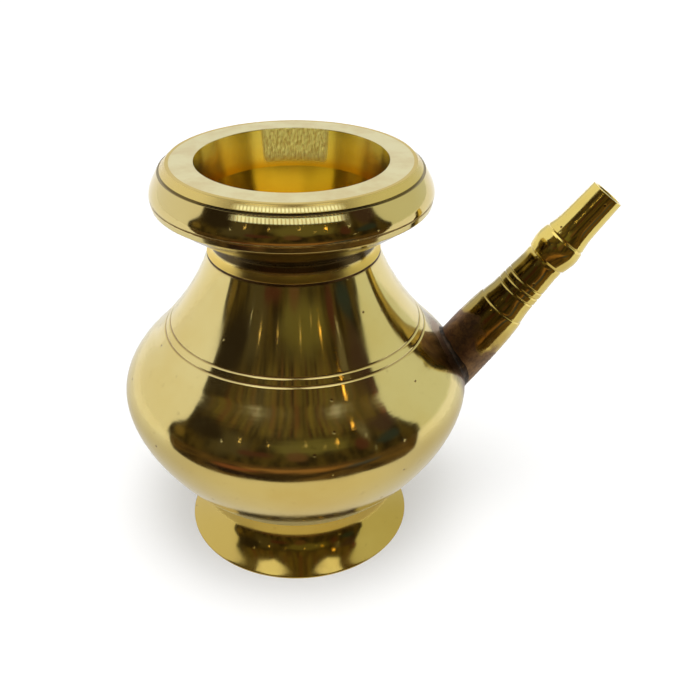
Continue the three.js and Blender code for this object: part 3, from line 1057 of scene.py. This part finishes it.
# Painted shadow and painted warm bounce light on the ground that the brass reflects
TABLE_PAINTED_SHADOW = (0.69, 0.66, 0.6, 1)
TABLE_PAINTED_BOUNCE = (0.82, 0.74, 0.53, 1)
TABLE_EDGE = (0.94, 0.94, 0.93, 1)
RIGHT_SHADE = (0.79, 0.82, 0.69, 1)
BEHIND_SHADE = (0.78, 0.79, 0.78, 1)

FLOOR_GLOW = 0.42
FLOOR_REACH = 4000
GROUND_REACH = 1600
TABLE_REACH = 240
TABLE_FRONT = 100
ROOM_REACH = 1500
ROOM_MIDDLE = Vector((0, 0, 60))
ROOM_COLUMNS = 30
OPENING_LOW = -6
OPENING_TOP = 66
NOTCH_TOP = 84
NOTCH_HALF = 19
NOTCH_TAPER = 0.6
OVERHEAD_LEAN = (0.975, 0.22)
OVERHEAD_FOCUS = 16.0
OVERHEAD_STRENGTH = 10.6
MIRRORED_OVERHEAD = 1.4

# The opening's edges, as (elevation, azimuth), and the white floor's front edge, as (x, y)

LEFT_EDGE = [(-10, -85), (11, -85.5), (17, -83), (23, -79), (30, -80), (38, -84), (44, -82), (57, -72)]
LEFT_EDGE += [(OPENING_TOP, -68)]
RIGHT_EDGE = [(-10, 79), (9, 79), (16, 75), (25, 72), (35, 69), (39, 72), (46, 71), (57, 66)]
RIGHT_EDGE += [(OPENING_TOP, 62)]
FLOOR_EDGE = [(-1400, -160), (-290, -61), (-151, -50), (-118, -57), (-91, -65), (-70, -76), (-36, -93)]
FLOOR_EDGE += [(10, -99), (57, -90), (76, -72), (95, -59), (124, -58), (227, -81), (1400, -320)]

# Things in the dark room, in degrees, and on its ground, in metres: the middle and half size across and up,
# and the display colour of their reflection

ROOM_SHAPES = [
    (8, 28, 26, 9, (90, 78, 28)),
    (-45, 20, 14, 14, (66, 54, 22)),
    (-66, 27, 13, 10, (34, 24, 7)),
    (-78, 10, 4, 5, (98, 76, 26)),
    (-27, 16, 11, 4, (66, 34, 14)),
    (-1, 16, 6, 7, (82, 54, 22)),
    (40, 21, 4, 8, (66, 34, 14)),
    (58, 16, 8, 6, (38, 42, 26)),
    (60, 33, 10, 9, (56, 38, 20)),
    (70, 42, 4, 5, (104, 30, 16)),
    (46, 34, 3, 9, (92, 80, 44)),
]
GROUND_SHAPES = [
    (-0.136, -0.183, 0.06, 0.04, (112, 62, 26)),
    (0.0, -0.31, 0.17, 0.09, (132, 88, 34)),
    (0.16, -0.217, 0.06, 0.04, (60, 60, 44)),
    (-0.09, -0.115, 0.05, 0.02, (24, 12, 5)),
]
WINDOWS = {
    "window_left": [(-61, 54), (-38, 54), (-15, 67), (-63, 67)],
    "window_right": [(36, 54), (54, 54), (56, 67), (14, 67)],
}

# Lamps, as (azimuth, elevation, radius, strength, colour)

LAMPS = [
    (-50, 22, 7, 7, WHITE),
    (-39, 29, 12, 9, WARM),
    (-20, 31, 10, 8, WARM),
    (4.5, 32, 10, 8, WARM),
    (17, 27, 7, 5, WARM),
    (26, 30, 14, 14, ORANGE),
    (45, 27, 8, 8, WHITE),
    (42, 42, 15, 14, ORANGE),
    (47, 8, 8, 7, WHITE),
    (66, -2, 9, 9, WHITE),
]


class Glow(Shader):
    """A material that only glows."""

    def __init__(self, name):
        super().__init__(name)
        self.tree.nodes.remove(self.surface)
        self.emission = self.add("ShaderNodeEmission")
        self.show(self.emission)

    def shine(self, color, strength=1.0):
        self.put(color, self.emission.inputs["Color"])
        self.put(strength, self.emission.inputs["Strength"])
        return self.material


def seen(red, green, blue):
    """The light of a thing whose reflection in the brass has this display colour."""
    return (*(light / brass for light, brass in zip(linear(red, green, blue)[:3], PALE_BRASS)), 1.0)


def card(name, corners, faces, material, reflected_only=True):
    """A studio card given by its corners from the pot's axis."""
    mesh = bpy.data.meshes.new(name)
    mesh.from_pydata([tuple(Vector(corner) * MM + AXIS) for corner in corners], [], faces)
    mesh.materials.append(material)
    item = bpy.data.objects.new(name, mesh)
    bpy.context.scene.collection.objects.link(item)
    if reflected_only:
        for kind in ("camera", "diffuse", "shadow", "transmission", "volume_scatter"):
            setattr(item, f"visible_{kind}", False)


def floor():
    """A white floor that keeps the object's shadow, and is clean white away from it."""
    shader = Shader("floor_white")
    shader.set(Base_Color=WHITE, Roughness=1.0, Specular_IOR_Level=0.0)
    direct = shader.rays("Is Camera Ray", "Is Glossy Ray", "Is Transmission Ray")
    glow = shader.add("ShaderNodeEmission")
    parts = (shader.times(direct, FLOOR_GLOW), shader.surface.outputs[0], glow.outputs[0])
    shader.show(shader.made("ShaderNodeMixShader", parts))
    corners = [(x * FLOOR_REACH, y * FLOOR_REACH, 0) for x, y in ((-1, -1), (1, -1), (1, 1), (-1, 1))]
    card("floor", corners, [(0, 1, 2, 3)], shader.material, reflected_only=False)


def room_point(azimuth, elevation, reach=ROOM_REACH):
    """A point round the pot, at a reach from the room's middle."""
    a, e = math.radians(azimuth), math.radians(elevation)
    return Vector((math.sin(a) * math.cos(e), -math.cos(a) * math.cos(e), math.sin(e))) * reach + ROOM_MIDDLE


def opening(elevation):
    """The azimuths of the dark opening's edges at an elevation. Its top is a narrow notch."""
    if elevation > OPENING_TOP:
        half = NOTCH_HALF - (elevation - OPENING_TOP) * NOTCH_TAPER
        return -half, half
    edges = []
    for line in (LEFT_EDGE, RIGHT_EDGE):
        for (low, start), (high, end) in zip(line, line[1:]):
            if low <= elevation <= high:
                edge = start + (end - start) * (elevation - low) / (high - low)
        edges.append(edge)
    return edges


def add_shapes(shader, color, across, up, shapes, wobble):
    """Lays soft coloured shapes over a colour."""
    for middle_x, middle_y, half_x, half_y, shade in shapes:
        dx = shader.math("DIVIDE", shader.minus(across, middle_x), half_x)
        dy = shader.math("DIVIDE", shader.minus(up, middle_y), half_y)
        near = shader.fade(shader.plus(shader.length(dx, dy), wobble), 1.35, 0.7)
        color = shader.mix(near, color, seen(*shade))
    return color


def hung_cloth(shader, azimuth, elevation):
    """The colour of narrow streaks of hung cloth, a few of them red."""
    narrow = shader.combine(shader.times(azimuth, 0.3), shader.times(elevation, 0.02), 4.0)
    pale = shader.patches((1.0, 4.0, 0.65, narrow), 0.38, 0.62)
    red = shader.patches((1.3, 1.0, 0.5, narrow), 0.55, 0.68)
    return shader.mix(red, shader.mix(pale, seen(30, 19, 4), seen(104, 84, 26)), seen(92, 52, 20))


def dark_room():
    """The dark room in front of the studio, of which the brass shows a small picture."""
    glow = Glow("dark_room")
    x, y, z = glow.split()
    azimuth = glow.math("DEGREES", glow.math("ARCTAN2", x, glow.times(y, -1.0)))
    rise = glow.math("DIVIDE", glow.minus(z, ROOM_MIDDLE.z * MM), ROOM_REACH * MM)
    elevation = glow.math("DEGREES", glow.math("ARCSINE", rise))
    tall = glow.combine(glow.times(azimuth, 0.12), glow.times(elevation, 0.03), 0.0)
    color = glow.mix(glow.patches((1.0, 3.0, 0.6, tall), 0.4, 0.62), seen(32, 22, 4), seen(66, 50, 12))
    wobble = glow.patches((3.5, 3.0, 0.6), 0.2, 0.8, -0.3, 0.3)
    color = add_shapes(glow, color, azimuth, elevation, ROOM_SHAPES, wobble)
    high = glow.fade(elevation, 36.0, 43.0, 0.0, 0.85)
    color = glow.mix(high, color, hung_cloth(glow, azimuth, elevation))
    levels = [*range(OPENING_LOW, OPENING_TOP, 3), OPENING_TOP, OPENING_TOP + 0.5]
    levels += range(OPENING_TOP + 5, NOTCH_TOP, 5)
    corners = [room_point(turn, level) for level in levels for turn in spaced(*opening(level), ROOM_COLUMNS)]
    row = ROOM_COLUMNS + 1
    starts = [row * i + k for i in range(len(levels) - 1) for k in range(ROOM_COLUMNS)]
    faces = [(start, start + 1, start + row + 1, start + row) for start in starts]
    card("room_wall", corners, faces, glow.shine(color))


def windows():
    """Two bright windows under the dark room's ceiling."""
    glow = Glow("window")
    material = glow.shine(glow.mix(glow.patches((6.0, 2.0), 0.3, 0.7), WHITE, WINDOW_SHADE), WINDOW_STRENGTH)
    for name, places in WINDOWS.items():
        corners = [room_point(*place, ROOM_REACH - 150) for place in places]
        card(name, corners, [(0, 1, 2, 3)], material)


def room_floor():
    """The dark ground past the white floor's front edge."""
    glow = Glow("room_ground")
    x, y, _ = glow.split()
    color = glow.mix(glow.patches((9.0, 3.0, 0.6), 0.4, 0.6), seen(44, 30, 8), seen(88, 62, 20))
    wobble = glow.patches((14.0, 3.0, 0.6), 0.2, 0.8, -0.35, 0.35)
    color = add_shapes(glow, color, x, y, GROUND_SHAPES, wobble)
    count = len(FLOOR_EDGE)
    corners = [(x, y, 0.4) for x, y in FLOOR_EDGE] + [(x, -GROUND_REACH, 0.4) for x, _ in FLOOR_EDGE]
    faces = [(i, i + 1, count + i + 1, count + i) for i in range(count - 1)]
    card("room_floor", corners, faces, glow.shine(color))


def table():
    """The ground close to the pot, as the brass shows it, with a painted shadow of the pot and painted warm
    bounce light in front of it.
    """
    glow = Glow("table")
    # Painted shadow of the pot, grey near it, and painted warm bounce light in front of it, seen only in the
    # brass.
    warm = glow.step(glow.distance((0, -0.075, 0), (0.6, 1, 1)), 75, 20)
    near = glow.mix(warm, TABLE_PAINTED_SHADOW, TABLE_PAINTED_BOUNCE)
    color = glow.mix(glow.step(glow.distance((0, 0, 0)), 60, 230), near, TABLE_EDGE)
    corners = [(x, y, 0.2) for y in (-TABLE_FRONT, TABLE_REACH) for x in (-TABLE_REACH, TABLE_REACH)]
    card("table", corners, [(0, 1, 3, 2)], glow.shine(color))


def lamps():
    """Small round lamps hanging in the dark room."""
    for index, (azimuth, elevation, size, strength, shade) in enumerate(LAMPS):
        centre = room_point(azimuth, elevation, ROOM_REACH - 100)
        toward = (ROOM_MIDDLE - centre).normalized()
        side = toward.cross(Vector((0, 0, 1))).normalized()
        up = side.cross(toward)
        corners = [centre + (side * math.cos(turn) + up * math.sin(turn)) * size for turn in turns(16)]
        name = f"lamp_{index}"
        card(name, corners, [tuple(range(16))], Glow(name).shine(shade, strength))


def studio_world():
    """White all round, dimmer on the right and low behind, and lit from overhead, mostly for matt things."""
    world = bpy.context.scene.world or bpy.data.worlds.new("studio")
    bpy.context.scene.world = world
    world.use_nodes = True
    nodes = Nodes(world.node_tree, "Generated")
    x, y, z = nodes.split()
    color = nodes.mix(nodes.fade(x, 0.15, 0.65), WHITE, RIGHT_SHADE)
    behind = nodes.times(nodes.fade(y, 0.86, 0.92), nodes.fade(z, 0.4, 0.26))
    color = nodes.mix(behind, color, BEHIND_SHADE)
    color = nodes.mix(nodes.rays("Is Camera Ray", "Is Diffuse Ray"), color, WHITE)
    up, forward = OVERHEAD_LEAN
    leaning = nodes.math("MAXIMUM", nodes.minus(nodes.times(z, up), nodes.times(y, forward)), 0.0)
    overhead = nodes.times(nodes.math("POWER", leaning, OVERHEAD_FOCUS), OVERHEAD_STRENGTH)
    mirrored = nodes.fade(z, 0.885, 0.93, 1.0, MIRRORED_OVERHEAD)
    strength = nodes.raised(mirrored, nodes.rays("Is Diffuse Ray"), nodes.minus(overhead, mirrored))
    background = world.node_tree.nodes["Background"]
    nodes.put(color, background.inputs["Color"])
    nodes.put(strength, background.inputs["Strength"])


floor()
room_floor()
table()
dark_room()
windows()
lamps()
studio_world()


# The camera, fitted to the circles of the rim, the incised lines and the foot. Angles are in radians.

PITCH = 0.5384011717
ROLL = 0.0117635182
YAW = 0.0690721424
LENS_PLACE = Vector((0, -214.34, 182.75))
LENS_LENGTH = 46.286
SENSOR_WIDTH = 36
CLIP_START = 0.01

camera_data = bpy.data.cameras.new("camera")
camera_data.sensor_width = SENSOR_WIDTH
camera_data.lens = LENS_LENGTH
camera_data.clip_start = CLIP_START
camera = bpy.data.objects.new("camera", camera_data)
bpy.context.scene.collection.objects.link(camera)
turn_to = (
    Matrix.Rotation(-YAW, 3, "Z")
    @ Matrix.Rotation(math.pi / 2 - PITCH, 3, "X")
    @ Matrix.Rotation(ROLL, 3, "Z")
)
camera.matrix_world = Matrix.Translation(AXIS + LENS_PLACE * MM) @ turn_to.to_4x4()
bpy.context.scene.camera = camera

bpy.context.scene.view_settings.view_transform = "Standard"
